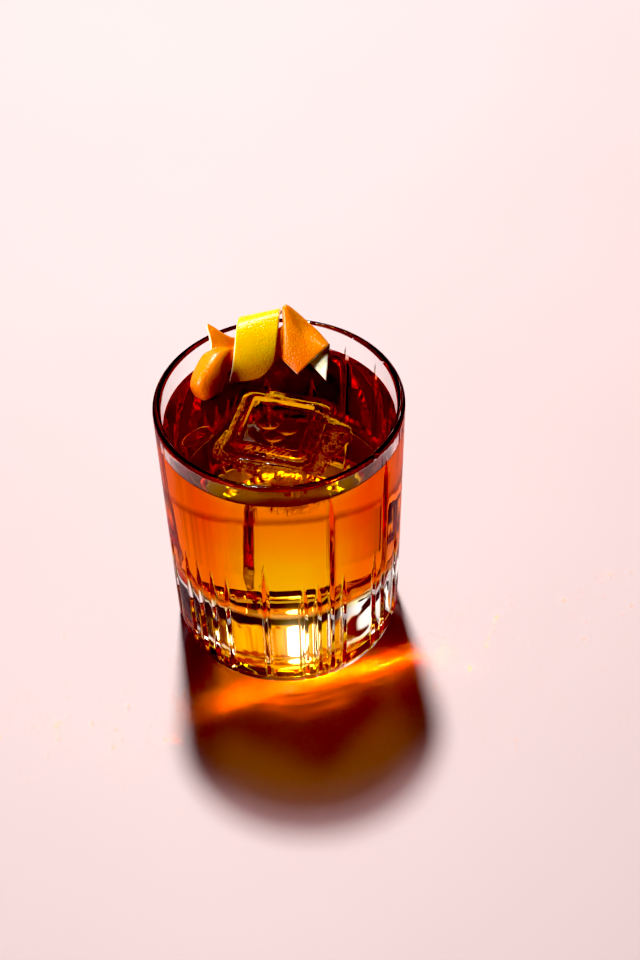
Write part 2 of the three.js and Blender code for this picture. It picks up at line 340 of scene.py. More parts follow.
# How far a face is turned away, from 0 square-on to 1 edge-on, at the start and the end of a
# change: where a lamp's light comes to skim it, where a wet side comes to show its flank
# colour, and where total reflection inside a body begins.
SKIMMED = (0.58, 0.86)
ASLANT = (0.105, 0.21)
REFLECTING = (0.16, 0.21)
# The height under which a face counts as the underside, and how far the painted caustic on
# the heel's front reaches to the sides, to the front and up, each from its start to its end.
UNDERSIDE = 1.6 * MM
HEEL_SIDE = (6.0 * MM, 30.0 * MM)
HEEL_FRONT = (-20.0 * MM, -30.0 * MM)
HEEL_HEIGHT = (16.0 * MM, 29.0 * MM)
# The bands of painted caustic light: the noise's scale along each axis, and its turn into a share.
CAUSTIC_BAND_SCALES = (60.0, 60.0, 320.0)
CAUSTIC_BAND_SHARE = (0.36, 0.66, 0.12, 1.0)
# The cracks in ice: their size, how ragged they are, and the noise's turn into a share.
CRACK_MM = 1.6
CRACK_DISTORTION = 1.2
CRACK_SHARE = (0.42, 0.54, 0.0, 0.85)


@dataclass(frozen=True)
class ClearFinish:
    """A clear solid or liquid: what bends light, and lets the lamps' light pass in shadow.

    Attributes:
        name: The material's name.
        ior: Index of refraction.
        ripple_mm: Size of the slow waves left in the surface.
        ripple_depth_mm: Height of those waves.
        haze: Roughness of the clearest places, and of the dullest.
        shade: Colour that a lamp's light keeps as it crosses a face squarely.
        skim: Colour that it keeps where it only skims a face.
        mirror: Share of its faint mirror images that is kept. Total reflection stays whole.
        tint: Colour of the light that passes its dry faces.
        flank: Colour that is kept at a wet face seen aslant.
        frost_and_drink_light: Colour of its cracked places, painted the orange of light through the
            drink, or None where it has none.
        under: Colour that a lamp's light keeps at the underside, or None for the usual one.
        painted_caustic: Painted caustic light: how much the heel's front raises a lamp's light, by
            colour, or None.
        absorb: Colour that is kept where the body is deep, or None for clear.
        density: How fast the body takes up light, per metre.
    """

    name: str
    ior: float
    ripple_mm: float
    ripple_depth_mm: float
    haze: tuple[float, float]
    shade: str
    skim: str
    mirror: float
    tint: str = "FFFFFF"
    flank: str = "FFFFFF"
    frost_and_drink_light: str | None = None
    under: str | None = None
    painted_caustic: tuple[float, float, float] | None = None
    absorb: tuple[float, float, float] | None = None
    density: float = 0.0

    def passed(self, graph: Graph, place: Socket) -> Socket:
        """Gives the colour that a lamp's light keeps at each place of the surface.

        It falls from the shade to the skim colour as the face turns edge-on to the light.
        Near the table it is that of the underside. On the heel's front it is raised by the
        gather colour, in bands that a noise stretched along the wall draws: painted caustic
        light, cast on the table in front of the foot.

        Args:
            graph: The node tree.
            place: The object coordinates.

        Returns:
            The colour's socket.
        """
        facing = graph.read("ShaderNodeLayerWeight", "Facing")
        colour = graph.blend(graph.ramp(facing, *SKIMMED), linear(self.shade), linear(self.skim))
        x, y, z = graph.add("ShaderNodeSeparateXYZ", {0: place}).outputs
        if self.under is not None:
            low = graph.maths("LESS_THAN", z, UNDERSIDE)
            colour = graph.blend(low, colour, linear(self.under))
        # Painted caustic: extra light in noise bands, which the heel's front passes to the table
        # before the foot.
        if self.painted_caustic is not None:
            caustic_band_place = graph.read(
                "ShaderNodeVectorMath", 0, {0: place, 1: CAUSTIC_BAND_SCALES}, {"operation": "MULTIPLY"},
            )
            share = graph.product(
                graph.ramp(graph.maths("ABSOLUTE", x), *HEEL_SIDE, 1.0, 0.0),
                graph.ramp(y, *HEEL_FRONT),
                graph.ramp(z, *HEEL_HEIGHT, 1.0, 0.0),
                graph.ramp(graph.noise(caustic_band_place, 1.0, 2.0), *CAUSTIC_BAND_SHARE),
            )
            colour = graph.blend(share, colour, (*self.painted_caustic, 1.0))
        return colour

    def bent(self, graph: Graph, colour: Colour, bump: Socket) -> Socket:
        """Gives a surface that only bends light, with no mirror image."""
        return graph.read(
            "ShaderNodeBsdfRefraction", 0,
            {"Color": colour, "Roughness": 0.0, "IOR": self.ior, "Normal": bump},
        )

    def dry(self, graph: Graph, waves: Socket, bump: Socket, facing: Socket) -> Socket:
        """Gives the open surface, with its faint mirror images cut down.

        They are cut on every face met from outside, and on those met from inside squarely
        enough that no total reflection happens.

        Args:
            graph: The node tree.
            waves: The noise of the surface's slow waves.
            bump: The waved normal.
            facing: How far the face is turned away.

        Returns:
            The shader's socket.
        """
        whole = graph.read(
            "ShaderNodeBsdfPrincipled", 0,
            {
                "Base Color": linear(self.tint),
                "Roughness": graph.ramp(waves, 0.35, 0.75, *self.haze, curve="LINEAR"),
                "IOR": self.ior,
                "Transmission Weight": 1.0,
                "Normal": bump,
            },
        )
        inside = graph.read("ShaderNodeNewGeometry", "Backfacing")
        outside = graph.maths("SUBTRACT", 1.0, inside)
        faint = graph.maths("MAXIMUM", outside, graph.ramp(facing, *REFLECTING, 1.0, 0.0))
        lost = graph.maths("MULTIPLY", faint, 1.0 - self.mirror)
        return graph.mix(lost, whole, self.bent(graph, linear(self.tint), bump))

    def material(self) -> bpy.types.Material:
        """Builds the shader from the piece's wet and frost attributes.

        Returns:
            The material.
        """
        material, graph = new_material(self.name)
        place = graph.read("ShaderNodeTexCoord", "Object")
        waves = graph.noise(place, per(self.ripple_mm), 2.0)
        bump = graph.read(
            "ShaderNodeBump", 0,
            {"Height": waves, "Distance": self.ripple_depth_mm * MM, "Strength": 1.0},
        )
        facing = graph.read("ShaderNodeLayerWeight", "Facing")
        wet = graph.attribute("wet")
        sides = graph.blend(graph.ramp(facing, *ASLANT), linear("FFFFFF"), linear(self.flank))
        surface = graph.mix(
            wet, self.dry(graph, waves, bump, facing), self.bent(graph, sides, bump),
        )
        unseen = graph.maths("SUBTRACT", wet, 1.0, clamp=True)
        surface = graph.mix(unseen, surface, graph.read("ShaderNodeBsdfTransparent"))
        # Cracked ice, whose colour is painted light: the orange that reaches the cracks through the
        # drink.
        if self.frost_and_drink_light is not None:
            cracks = graph.noise(place, per(CRACK_MM), 4.0, CRACK_DISTORTION)
            share = graph.product(graph.ramp(cracks, *CRACK_SHARE), graph.attribute("frost_and_drink_light"))
            lit_cracks = graph.read(
                "ShaderNodeBsdfDiffuse", 0, {"Color": linear(self.frost_and_drink_light), "Roughness": 0.3},
            )
            surface = graph.mix(share, surface, lit_cracks)
        through = graph.read("ShaderNodeBsdfTransparent", 0, {"Color": self.passed(graph, place)})
        in_shadow = graph.read("ShaderNodeLightPath", "Is Shadow Ray")
        parts = {"Surface": graph.mix(in_shadow, surface, through)}
        if self.absorb is not None:
            parts["Volume"] = graph.read(
                "ShaderNodeVolumeAbsorption", 0,
                {"Color": (*self.absorb, 1.0), "Density": self.density},
            )
        graph.add("ShaderNodeOutputMaterial", parts)
        return material


# Heights at which a peel's skin has none, and the most, of the painted orange light that the
# drink reflects onto it.
DRINK_LIGHT_HEIGHTS = (99.0 * MM, 90.0 * MM)
DRINK_LIGHT_SHARE = 0.8
# The oil glands: where a dimple ends, from its middle to halfway to the next, and its depth.
PORE_EDGE = (0.06, 0.42)
PORE_DEPTH = 0.14 * MM
SKIN_PATCH_MM = 5.0
PITH_ROUGHNESS = 0.65


@dataclass(frozen=True)
class RindFinish:
    """Citrus rind: an oily, pored skin over matt white pith.

    Attributes:
        name: The material's name.
        skin: Colour of the skin, and of its duller patches.
        pith: Colour of the pith.
        drink_light: Painted light: the drink's orange, reflected onto the skin near its foot.
        pore_mm: Spacing of the oil glands.
        gloss: Roughness of the skin.
    """

    name: str
    skin: tuple[str, str]
    pith: str
    drink_light: str
    pore_mm: float
    gloss: float

    def material(self) -> bpy.types.Material:
        """Builds the shader from the piece's rind attribute, 1 on skin and 0 on pith.

        Returns:
            The material.
        """
        material, graph = new_material(self.name)
        place = graph.read("ShaderNodeTexCoord", "Object")
        rind = graph.attribute("rind")
        glands = graph.read(
            "ShaderNodeTexVoronoi", "Distance",
            {"Vector": place, "Scale": per(self.pore_mm), "Randomness": 0.8},
        )
        patches = graph.noise(place, per(SKIN_PATCH_MM), 4.0)
        height = graph.read("ShaderNodeSeparateXYZ", "Z", {0: place})
        skin = graph.blend(patches, linear(self.skin[0]), linear(self.skin[1]))
        # Painted light: the skin turns towards the orange that the drink reflects onto it, nearer
        # the drink.
        drink_light_share = graph.ramp(height, *DRINK_LIGHT_HEIGHTS, 0.0, DRINK_LIGHT_SHARE)
        lit_skin = graph.blend(drink_light_share, skin, linear(self.drink_light))
        bump = graph.read(
            "ShaderNodeBump", 0,
            {
                "Height": graph.product(graph.ramp(glands, *PORE_EDGE), rind),
                "Distance": PORE_DEPTH,
                "Strength": 0.7,
            },
        )
        surface = graph.read(
            "ShaderNodeBsdfPrincipled", 0,
            {
                "Base Color": graph.blend(rind, linear(self.pith), lit_skin),
                "Roughness": graph.ramp(rind, 0.0, 1.0, PITH_ROUGHNESS, self.gloss, "LINEAR"),
                "IOR": 1.47,
                "Subsurface Weight": 0.6,
                "Subsurface Radius": (1.0, 0.6, 0.25),
                "Subsurface Scale": 1.5 * MM,
                "Normal": bump,
            },
        )
        graph.add("ShaderNodeOutputMaterial", {"Surface": surface})
        return material


@dataclass(frozen=True)
class TableFinish:
    """Plain painted board: a pale, faintly uneven matt ground.

    Attributes:
        name: The material's name.
        tones: The two colours that the ground drifts between.
    """

    name: str
    tones: tuple[str, str]

    def material(self) -> bpy.types.Material:
        """Builds the shader."""
        material, graph = new_material(self.name)
        drift = graph.noise(graph.read("ShaderNodeTexCoord", "Object"), 9.0, 3.0)
        colour = graph.blend(drift, linear(self.tones[0]), linear(self.tones[1]))
        surface = graph.read(
            "ShaderNodeBsdfPrincipled", 0, {"Base Color": colour, "Roughness": 0.55},
        )
        graph.add("ShaderNodeOutputMaterial", {"Surface": surface})
        return material


class Finish(Enum):
    """The finishes of this drink."""

    # Soda-lime crystal, pressed, wheel-cut and polished: colourless, hard bright edges.
    CRYSTAL = ClearFinish(
        "cut_crystal", 1.5, 14.0, 0.004, (0.0, 0.015), "C8BCBC", "342828", 0.3,
        # gather paints caustic light in bands on the table in front of the foot.
        under="503A3A", painted_caustic=(17.0, 10.0, 0.2),
    )
    # Bourbon with bitters and melt water: a thin liquid that keeps red and loses blue.
    SPIRIT = ClearFinish(
        "amber_spirit", 1.36, 22.0, 0.010, (0.0, 0.0), "CCBEBA", "988C88", 0.06,
        flank="FF8838", absorb=(0.970, 0.895, 0.0), density=90.0,
    )
    # Tray ice that has begun to melt: clear, with a wet, slowly waved surface. Its dry faces and
    # its body carry an amber tint, which is painted colour of the drink's orange light seen through
    # it.
    ICE = ClearFinish(
        "clear_ice", 1.31, 3.2, 0.030, (0.0, 0.04), "E0E0E0", "B4B4B4", 0.3,
        tint="FFE4B0", frost_and_drink_light="FFA21C", absorb=(0.985, 0.740, 0.0), density=75.0,
    )
    # Fresh lemon zest, pared with a peeler: glossy with oil, dimpled.
    LEMON = RindFinish("lemon_rind", ("FFCF06", "FABB02"), "FBF0D2", "F08C00", 1.05, 0.28)
    # Fresh orange zest, pared with a peeler: finer, closer dimples.
    ORANGE = RindFinish("orange_rind", ("FF9A04", "FA8200"), "FBF0D2", "E05A00", 0.95, 0.33)
    # Painted board under the glass.
    TABLE = TableFinish("pale_board", ("F6E0E2", "F2DADC"))

    def dress(self, piece: Piece) -> None:
        """Gives a piece this finish."""
        material = bpy.data.materials.get(self.value.name) or self.value.material()
        piece.data.materials.clear()
        piece.data.materials.append(material)


def finish_piece(piece: Piece, finish: Finish, node: str) -> None:
    """Dresses a piece, puts it on the one body, hides the CAD node that it replaces, and logs its
    face count.

    Args:
        piece: The piece.
        finish: Its finish.
        node: The CAD node that it replaces.
    """
    finish.dress(piece)
    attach(piece, BODY)
    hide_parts(node)
    LOG.info("%s: %d faces", piece.name, len(piece.data.polygons))


@dataclass
class Tumbler:
    """The cut tumbler: a thick-based lathe form with V grooves cut down its wall.

    The rim's radius and the height come from the CAD node. Other sizes are millimetres.
    """

    rim_radius: float = field(default_factory=lambda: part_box("glass")[1].x / MM)
    height: float = field(default_factory=lambda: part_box("glass")[1].z / MM)
    heel_height: float = 6.0
    heel_radius: float = 39.3
    foot_radius: float = 37.9
    heel_round: float = 0.9
    punt_radius: float = 30.0
    punt_slope: float = 3.0
    punt_depth: float = 0.9
    floor: float = 30.0
    floor_dish: float = 0.7
    floor_fillet: float = 3.6
    inner_low: float = 36.3
    inner_top: float = 38.4
    rim_round: float = 1.3
    # How high the drink wets the inner wall.
    wet_top: float = field(default_factory=lambda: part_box("drink")[1].z / MM + 1.3)
    cut_half_width: float = 1.15
    cut_depth: float = 0.85
    cut_runout: float = 9.0
    short_top: float = 52.0
    middle_top: float = 61.0
    long_top: float = 93.0
    middle_cuts: tuple[float, ...] = (-9.0, 164.0, 187.8)
    long_cuts: tuple[float, ...] = (21.1, 55.8, 124.5, 145.0)
    # Radius at the bottom of a cut, and the step between columns away from the cuts.
    cut_bottom: float = 0.07
    column_degrees: float = 2.4
    # Middle of each group of cuts, how many there are, and the step between them, in degrees.
    cut_groups: tuple[tuple[float, int, float], ...] = (
        (-72.0, 1, 0.0), (-41.5, 4, 8.6), (-9.0, 1, 0.0), (19.0, 4, 6.7), (52.0, 2, 7.6),
        (69.5, 1, 0.0), (92.0, 3, 7.2), (120.9, 2, 7.2), (145.0, 1, 0.0), (164.0, 1, 0.0),
        (187.8, 1, 0.0), (212.0, 4, 7.6), (244.0, 1, 0.0), (264.0, 2, 7.6),
    )

    def outer_radius(self, z: Array) -> Array:
        """Gives the wall's outer radius at a height, a cone on the heel's shorter cone."""
        heel = self.foot_radius + (self.heel_radius - self.foot_radius) * z / self.heel_height
        rise = (z - self.heel_height) / (self.height - self.heel_height)
        wall = self.heel_radius + (self.rim_radius - self.heel_radius) * rise
        return np.where(z < self.heel_height, heel, wall)

    def inner_radius(self, z: Array) -> Array:
        """Gives the cavity's radius at a height above its floor."""
        rise = (z - self.floor) / (self.height - self.floor)
        return self.inner_low + (self.inner_top - self.inner_low) * rise

    @property
    def wall_foot(self) -> float:
        """Gives the height at which the cavity's wall meets the fillet of its floor."""
        return self.floor + self.floor_fillet

    @property
    def floor_radius(self) -> float:
        """Gives the radius at which the cavity's floor meets its fillet."""
        return float(self.inner_radius(np.array(self.wall_foot))) - self.floor_fillet

    def cuts(self) -> tuple[Array, Array]:
        """Gives each cut's angle from the front in degrees, and the height of its top."""
        angles = np.concatenate([
            middle + (np.arange(count) - (count - 1) / 2.0) * step
            for middle, count, step in self.cut_groups
        ])

        def near(middles: tuple[float, ...]) -> Array:
            """Says which cuts stand at one of these angles."""
            return np.abs(angles[:, None] - np.array(middles)[None, :]).min(axis=1) < 1.5

        tops = np.where(near(self.middle_cuts), self.middle_top, self.short_top)
        return angles, np.where(near(self.long_cuts), self.long_top, tops)

    def columns(self) -> Array:
        """Gives the angles of the mesh's columns, close together across each cut."""
        angles, _ = self.cuts()
        steps = np.array([0.0, 0.05, 0.16, 0.5, 0.84, 0.95, 1.0, 1.12])
        offsets = np.concatenate([-steps[:0:-1], steps])
        degree = math.degrees(self.cut_half_width / self.heel_radius)
        near = (angles[:, None] + offsets[None, :] * degree).ravel() % 360.0
        spread = np.arange(0.0, 360.0, self.column_degrees)
        gap = np.abs((spread[:, None] - angles[None, :] + 180.0) % 360.0 - 180.0).min(axis=1)
        return np.sort(np.concatenate([near, spread[gap > 1.5 * degree]]))

    def groove(self, z: Array, columns: Array) -> Array:
        """Gives how deep the cuts lie at each height and column.

        A V of constant slope from each cut's middle line, with its bottom eased by a small
        radius, which rises out of the wall over the run-out at its top.
        """
        angles, tops = self.cuts()
        away = (columns[:, None] - angles[None, :] + 180.0) % 360.0 - 180.0
        arc = np.radians(away) * self.heel_radius
        bottom = self.cut_bottom
        slope = self.cut_depth / self.cut_half_width
        sides = slope * (np.sqrt(arc**2 + bottom**2) - bottom)
        level = self.cut_depth * np.clip((tops[None, :] - z[:, None]) / self.cut_runout, 0.0, 1.0)
        depth = level[:, None, :] - sides[None, :, :]
        return np.maximum(depth, 0.0).max(axis=2)

    def build(self) -> None:
        """Builds the tumbler: its profile, turned, with the outer wall pushed in by the cuts."""

        def sweep(r: float, z: float, radius: float, start: float, end: float, count: int) -> Array:
            """Gives a circle's arc in the profile."""
            angle = np.radians(np.linspace(start, end, count))
            return np.stack([r + radius * np.cos(angle), z + radius * np.sin(angle)], axis=-1)

        wall_top = self.height - 2.0 * self.rim_round
        stops = (
            self.heel_height, self.short_top - self.cut_runout, self.middle_top,
            self.long_top - self.cut_runout, wall_top,
        )
        wall_z = np.concatenate([[stops[0]]] + [
            np.linspace(low, high, count)[1:]
            for low, high, count in zip(stops, stops[1:], (18, 20, 10, 14))
        ])
        inner_z = np.concatenate([
            np.linspace(wall_top, self.wet_top + 0.1, 5),
            np.linspace(self.wet_top - 0.1, self.wall_foot, 12),
        ])
        punt, heel, corner = self.punt_depth, self.heel_round, self.floor_radius
        profile = np.concatenate([
            [[0.0, punt], [12.0, punt]],
            sweep(self.punt_radius - self.punt_slope - 1.0, punt - 0.5, 0.5, 90.0, 60.0, 3),
            sweep(self.punt_radius + 0.6, 0.4, 0.4, 240.0, 270.0, 3),
            sweep(self.foot_radius - heel, heel, heel, -90.0, -8.0, 9),
            np.stack([self.outer_radius(wall_z), wall_z], axis=-1),
            sweep(
                (self.rim_radius + self.inner_top) / 2.0, self.height - self.rim_round,
                self.rim_round, 4.0, 176.0, 17,
            ),
            np.stack([self.inner_radius(inner_z), inner_z], axis=-1),
            sweep(corner, self.wall_foot, self.floor_fillet, 0.0, -86.0, 12)[1:],
            [
                [corner * across, self.floor - self.floor_dish * depth]
                for across, depth in ((0.6, 0.55), (0.25, 0.93), (0.0, 1.0))
            ],
        ])
        radius, z = profile[:, 0], profile[:, 1]
        columns = self.columns()
        outer = np.arange(len(z)) <= np.argmax(radius)
        limit = self.outer_radius(z)[:, None] - self.groove(z, columns)
        radii = np.where(outer[:, None], np.minimum(radius[:, None], limit), radius[:, None])
        angle = np.radians(columns)[None, :]
        heights = np.broadcast_to(z[:, None], radii.shape)
        rings = np.stack([radii * np.sin(angle), -radii * np.cos(angle), heights], axis=-1)
        glass = ringed("tumbler", rings, SHARP_GLASS)
        paint(glass, "wet", lambda x, y, z: np.where(
            (z > self.floor - 2.0) & (z < self.wet_top)
            & (np.hypot(x, y) < self.inner_radius(z) + 0.4),
            np.where(z < self.wall_foot + 0.1, 2.0, 1.0), 0.0,
        ))
        finish_piece(glass, Finish.CRYSTAL, "glass")


@dataclass
class Slab:
    """A square block of ice with rounded corners and bevelled edges, turned about its centre.

    Attributes:
        side: Its width.
        corner: Radius of its upright corners.
        height: Its height.
        bevel: Radius of its upper and lower edges.
        centre: Its place in plan.
        turned: Its heading in degrees.
        top: Height of its top face.
        chipping: Depth of the small chips along its upper edge.
        flatness: How flat its bevels are, from 1 for round to 2 for a chamfer.
        wave_height: Height of the waves that melting left in its top.
    """

    side: float
    corner: float
    height: float
    bevel: float
    centre: tuple[float, float]
    turned: float
    top: float
    chipping: float = 0.0
    flatness: float = 1.7
    wave_height: float = 0.10

    def relief(self, x: Array, y: Array) -> Array:
        """Gives how far the top lies below its level: slow waves left by melting."""
        return self.wave_height * (np.sin(x / 2.9 + 0.4) * np.sin(y / 3.3 + 1.1))

    def rings(self, shrink: float) -> Array:
        """Gives the block's surface as rings, from the middle of the top to that of the base.

        Each ring is the rounded square scaled down, which is carried over the bevels by
        powers of cosine and sine: 1 gives a quarter circle and 2 a flat chamfer. The chips
        are a product of sines along the upper bevel.

        Args:
            shrink: How far every face is drawn in.

        Returns:
            Points as rings x columns x 3.
        """
        half = self.side / 2.0 - shrink
        columns = directions(200)
        edge = outline(columns, half, self.corner)
        arc = np.radians(np.linspace(90.0, 0.0, 15)[1:])
        over = (half - self.bevel + self.bevel * np.cos(arc) ** self.flatness) / half
        drop = self.bevel * (1.0 - np.sin(arc) ** self.flatness)
        depth = self.height - 2.0 * shrink
        inner = np.linspace(0.0, (half - self.bevel) / half, 56)
        sides = np.linspace(drop[-1], depth - drop[-1], 8)[1:-1]
        base = np.linspace(over[0], 0.0, 8)
        fractions = np.concatenate([inner, over, np.ones(len(sides)), over[::-1], base])
        down = np.concatenate([
            np.zeros(len(inner)), drop, sides, depth - drop[::-1], np.full(len(base), depth),
        ])
        row = np.arange(len(fractions))
        on_bevel = ((row >= len(inner)) & (row < len(inner) + len(over)))[:, None]
        along = columns[None, :] * self.side / 2.0
        chips = np.sin(along * 1.9 + row[:, None] * 0.9) * np.sin(along * 0.73 + 1.3)
        chips = self.chipping * np.where(on_bevel, np.abs(chips), 0.0)
        radius = fractions[:, None] * edge[None, :] - chips
        x, y = radius * np.cos(columns), radius * np.sin(columns)
        z = self.top - shrink - down[:, None] - 0.6 * chips
        z = z - np.where((row < len(inner))[:, None], self.relief(x, y), 0.0)
        return turn(np.stack([x, y, z], axis=-1), self.turned, self.centre)


@dataclass
class Tier(Slab):
    """The upper tier: a moulded square dish in its top, with hollows melted into it."""

    dish_side: float = 22.0
    dish_corner: float = 1.8
    dish_bevel: float = 1.5
    dish_depth: float = 1.7
    # Each hollow's place on the tier, and its three radii.
    hollows: tuple[tuple[float, ...], ...] = (
        (-2.8, 2.0, 4.9, 4.2, 3.6), (3.3, 0.6, 4.6, 4.0, 3.3), (0.4, -3.9, 3.8, 3.6, 3.2),
    )

    def relief(self, x: Array, y: Array) -> Array:
        """Gives how far the top lies below its highest level at a place on the tier.

        The dish falls smoothly over its bevel, and each hollow is a cone with a rounded
        point. The hollows are joined where they meet with a rounded ridge.
        """
        dish = self.dish_depth * ease(0.0, self.dish_bevel, inset(
            x, y, self.dish_side / 2.0, self.dish_corner))
        bowl = np.zeros_like(x)
        for hx, hy, rx, ry, rz in self.hollows:
            far = ((x - hx) / rx) ** 2 + ((y - hy) / ry) ** 2
            bowl = soft_max(bowl, rz * np.maximum(1.0 - far**0.65, 0.0), 0.12)
        return dish + bowl - 0.06


@dataclass
class IceBlock:
    """The stepped ice block: a large block just under the surface, and a turned tier on it."""

    top: float = field(default_factory=lambda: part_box("ice_cube")[1].z / MM)
    proud: float = 2.0
    sunk: float = 2.8
    low: Slab = field(init=False)
    high: Tier = field(init=False)

    def __post_init__(self) -> None:
        """Sets the two tiers at their heights."""
        under = self.top - self.proud - self.sunk
        self.low = Slab(36.0, 5.0, 34.0, 4.4, (0.9, -4.5), -35.0, under, 0.35)
        self.high = Tier(30.0, 3.2, 9.0, 3.2, (-1.2, -2.2), -16.5, self.top, 0.25)

    @property
    def side_top(self) -> float:
        """Gives the height at which the lower tier's upright sides end."""
        return self.low.top - self.low.bevel - 0.1

    def joined(self, name: str, shrink: float) -> Piece:
        """Joins the two tiers into one closed form.

        Args:
            name: The new piece's name.
            shrink: How far every face is drawn in.

        Returns:
            The joined form.
        """
        low = ringed(name, self.low.rings(shrink), SHARP_ICE)
        high = ringed("tier_tool", self.high.rings(shrink), SHARP_ICE)
        combine(low, high, "UNION", SHARP_ICE)
        return low

    def build(self) -> None:
        """Builds the block."""
        block = self.joined("ice_block", 0.0)
        paint(block, "wet", lambda x, y, z: np.where(z < self.side_top, 2.0, 0.0))
        # The cracks along the lower tier's front upper edge, which the finish paints with the
        # drink's orange light.
        paint(block, "frost_and_drink_light", lambda x, y, z: ease(self.side_top - 1.0, self.side_top + 1.0, z)
              * ease(self.low.top + 0.4, self.low.top - 0.5, z) * ease(-1.0, -5.0, y))
        finish_piece(block, Finish.ICE, "ice_cube")


@dataclass
class IceChip:
    """The melted chip at the left: a flattened pebble with two broken flats."""

    centre: tuple[float, float] = (-26.6, -4.4)
    radii: tuple[float, float, float] = (6.4, 3.2, 2.7)
    turned: float = 38.0
    level: float = 86.5
    flat: float = 0.55

    def rings(self, shrink: float) -> Array:
        """Gives the chip's surface: a ball with its end and base cut flat, then stretched."""
        up = np.linspace(math.pi / 2.0, -math.pi / 2.0, 40)[:, None]
        around = directions(72)[None, :]
        x = np.minimum(np.cos(up) * np.cos(around), 1.0 - self.flat * 0.35)
        y = np.cos(up) * np.sin(around)
        z = np.maximum(np.sin(up) + 0.0 * around, -self.flat)
        ripple = 1.0 + 0.03 * np.sin(5.0 * x + 2.0) * np.sin(4.0 * y + 1.0)
        points = np.stack([
            x * (self.radii[0] - shrink), y * (self.radii[1] - shrink) * ripple,
            z * (self.radii[2] - shrink) * ripple + self.level,
        ], axis=-1)
        return turn(points, self.turned, self.centre)

    def build(self) -> None:
        """Builds the chip."""
        chip = ringed("ice_chip_left", self.rings(0.0), SHARP_CHIP)
        paint(chip, "wet", lambda x, y, z: np.where(z < self.level + 0.5, 1.0, 0.0))
        finish_piece(chip, Finish.ICE, "ice_chip")

    def tool(self, shrink: float) -> Piece:
        """Builds the form that the drink is cut by."""
        return ringed("chip_tool", self.rings(shrink), SHARP_CHIP)


@dataclass
class Drink:
    """The drink: it fills the cavity to its level and climbs a little at glass and ice.

    Its wall lies a hair inside the glass, and its pockets a hair inside the ice, so that
    no film of air shows between them.
    """

    tumbler: Tumbler
    block: IceBlock
    chip: IceChip
    level: float = field(default_factory=lambda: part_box("drink")[1].z / MM)
    reach: float = 0.2
    climb: float = 1.3
    climb_width: float = 1.1
    ice_climb: float = 0.7
    wave_height: float = 0.04

    def surface(self, x: Array, y: Array, radius: Array, wall: float) -> Array:
        """Gives the height of the drink's surface.

        The level, raised by a curve that dies away exponentially from the glass, and by a
        lower one from the tier's sides.
        """
        glass = self.climb * np.exp(-(wall - radius) / self.climb_width)
        tier = self.block.high
        cx, cy = unturn(x, y, tier.turned, tier.centre)
        away = -inset(cx, cy, tier.side / 2.0, tier.corner)
        ice = self.ice_climb * np.exp(-np.maximum(away, 0.0) / self.climb_width)
        waves = self.wave_height * np.sin(x / 4.1 + 0.7) * np.sin(y / 5.3)
        return self.level + glass + ice + waves

    def build(self) -> None:
        """Builds the drink and cuts it round the ice."""
        glass = self.tumbler
        corner, foot = glass.floor_radius, glass.wall_foot
        bend = np.radians(np.linspace(-90.0, 0.0, 12))
        fillet = glass.floor_fillet + self.reach
        side_z = np.linspace(foot, self.level, 26)[1:]
        low = glass.floor - glass.floor_dish - self.reach
        middle = [[0.0, low], [corner * 0.25, low + 0.05]]
        profile = np.concatenate([
            [*middle, [corner * 0.6, low + glass.floor_dish * 0.45]],
            np.stack([corner + fillet * np.cos(bend), foot + fillet * np.sin(bend)], axis=-1),
            np.stack([glass.inner_radius(side_z) + self.reach, side_z], axis=-1),
        ])
        columns = directions(256)
        wall = float(glass.inner_radius(np.array(self.level))) + self.reach
        near = wall - np.array([0.0, 0.1, 0.25, 0.45, 0.7, 1.0, 1.4, 1.9, 2.5, 3.2, 4.0])
        across = np.concatenate([near, np.linspace(near[-1], 0.0, 50)[1:]])
        top_x, top_y = across[:, None] * np.cos(columns), across[:, None] * np.sin(columns)
        top_z = self.surface(top_x, top_y, np.broadcast_to(across[:, None], top_x.shape), wall)
        side = np.stack([
            profile[:, :1] * np.cos(columns), profile[:, :1] * np.sin(columns),
            np.broadcast_to(profile[:, 1:], (len(profile), len(columns))),
        ], axis=-1)
        rings = np.concatenate([side, np.stack([top_x, top_y, top_z], axis=-1)])
        drink = ringed("drink_body", rings, SHARP_DRINK)
        for tool in (self.block.joined("block_tool", self.reach), self.chip.tool(self.reach)):
            combine(drink, tool, "DIFFERENCE", SHARP_DRINK)
        paint(drink, "wet", lambda x, y, z: np.where(
            np.hypot(x, y) > glass.inner_radius(z) + 0.1,
            np.where(z < foot + 0.1, 2.0, 1.0),
            np.where(z < self.block.side_top, 2.0, 0.0),
        ))
        finish_piece(drink, Finish.SPIRIT, "drink")


def spline(points: Array, places: Array) -> Array:
    """Carries a smooth centripetal curve through points.

    Each span is a cubic whose end slopes come from the neighbouring points, weighted by
    the square roots of the distances between them. The ends are carried on by one point.

    Args:
        points: Curves as points x curves x 3.
        places: Where to read them, from 0 at the first point to 1 at the last.

    Returns:
        Places x curves x 3.
    """
    first = 2.0 * points[:1] - points[1:2]
    last = 2.0 * points[-1:] - points[-2:-1]
    chain = np.concatenate([first, points, last])
    reach = places * (len(points) - 1)
    span = np.minimum(reach.astype(int), len(points) - 2)
    t = (reach - span)[:, None, None]
    p0, p1, p2, p3 = (chain[span + i] for i in range(4))

    def gap(a: Array, b: Array) -> Array:
        """Gives the square root of the distance between points."""
        return np.maximum(np.sqrt(np.linalg.norm(b - a, axis=-1, keepdims=True)), 1e-6)

    d0, d1, d2 = gap(p0, p1), gap(p1, p2), gap(p2, p3)
    m1 = ((p1 - p0) / d0 - (p2 - p0) / (d0 + d1) + (p2 - p1) / d1) * d1
    m2 = ((p2 - p1) / d1 - (p3 - p1) / (d1 + d2) + (p3 - p2) / d2) * d1
    a = 2.0 * p1 - 2.0 * p2 + m1 + m2
    b = -3.0 * p1 + 3.0 * p2 - 2.0 * m1 - m2
    return a * t**3 + b * t**2 + m1 * t + p1


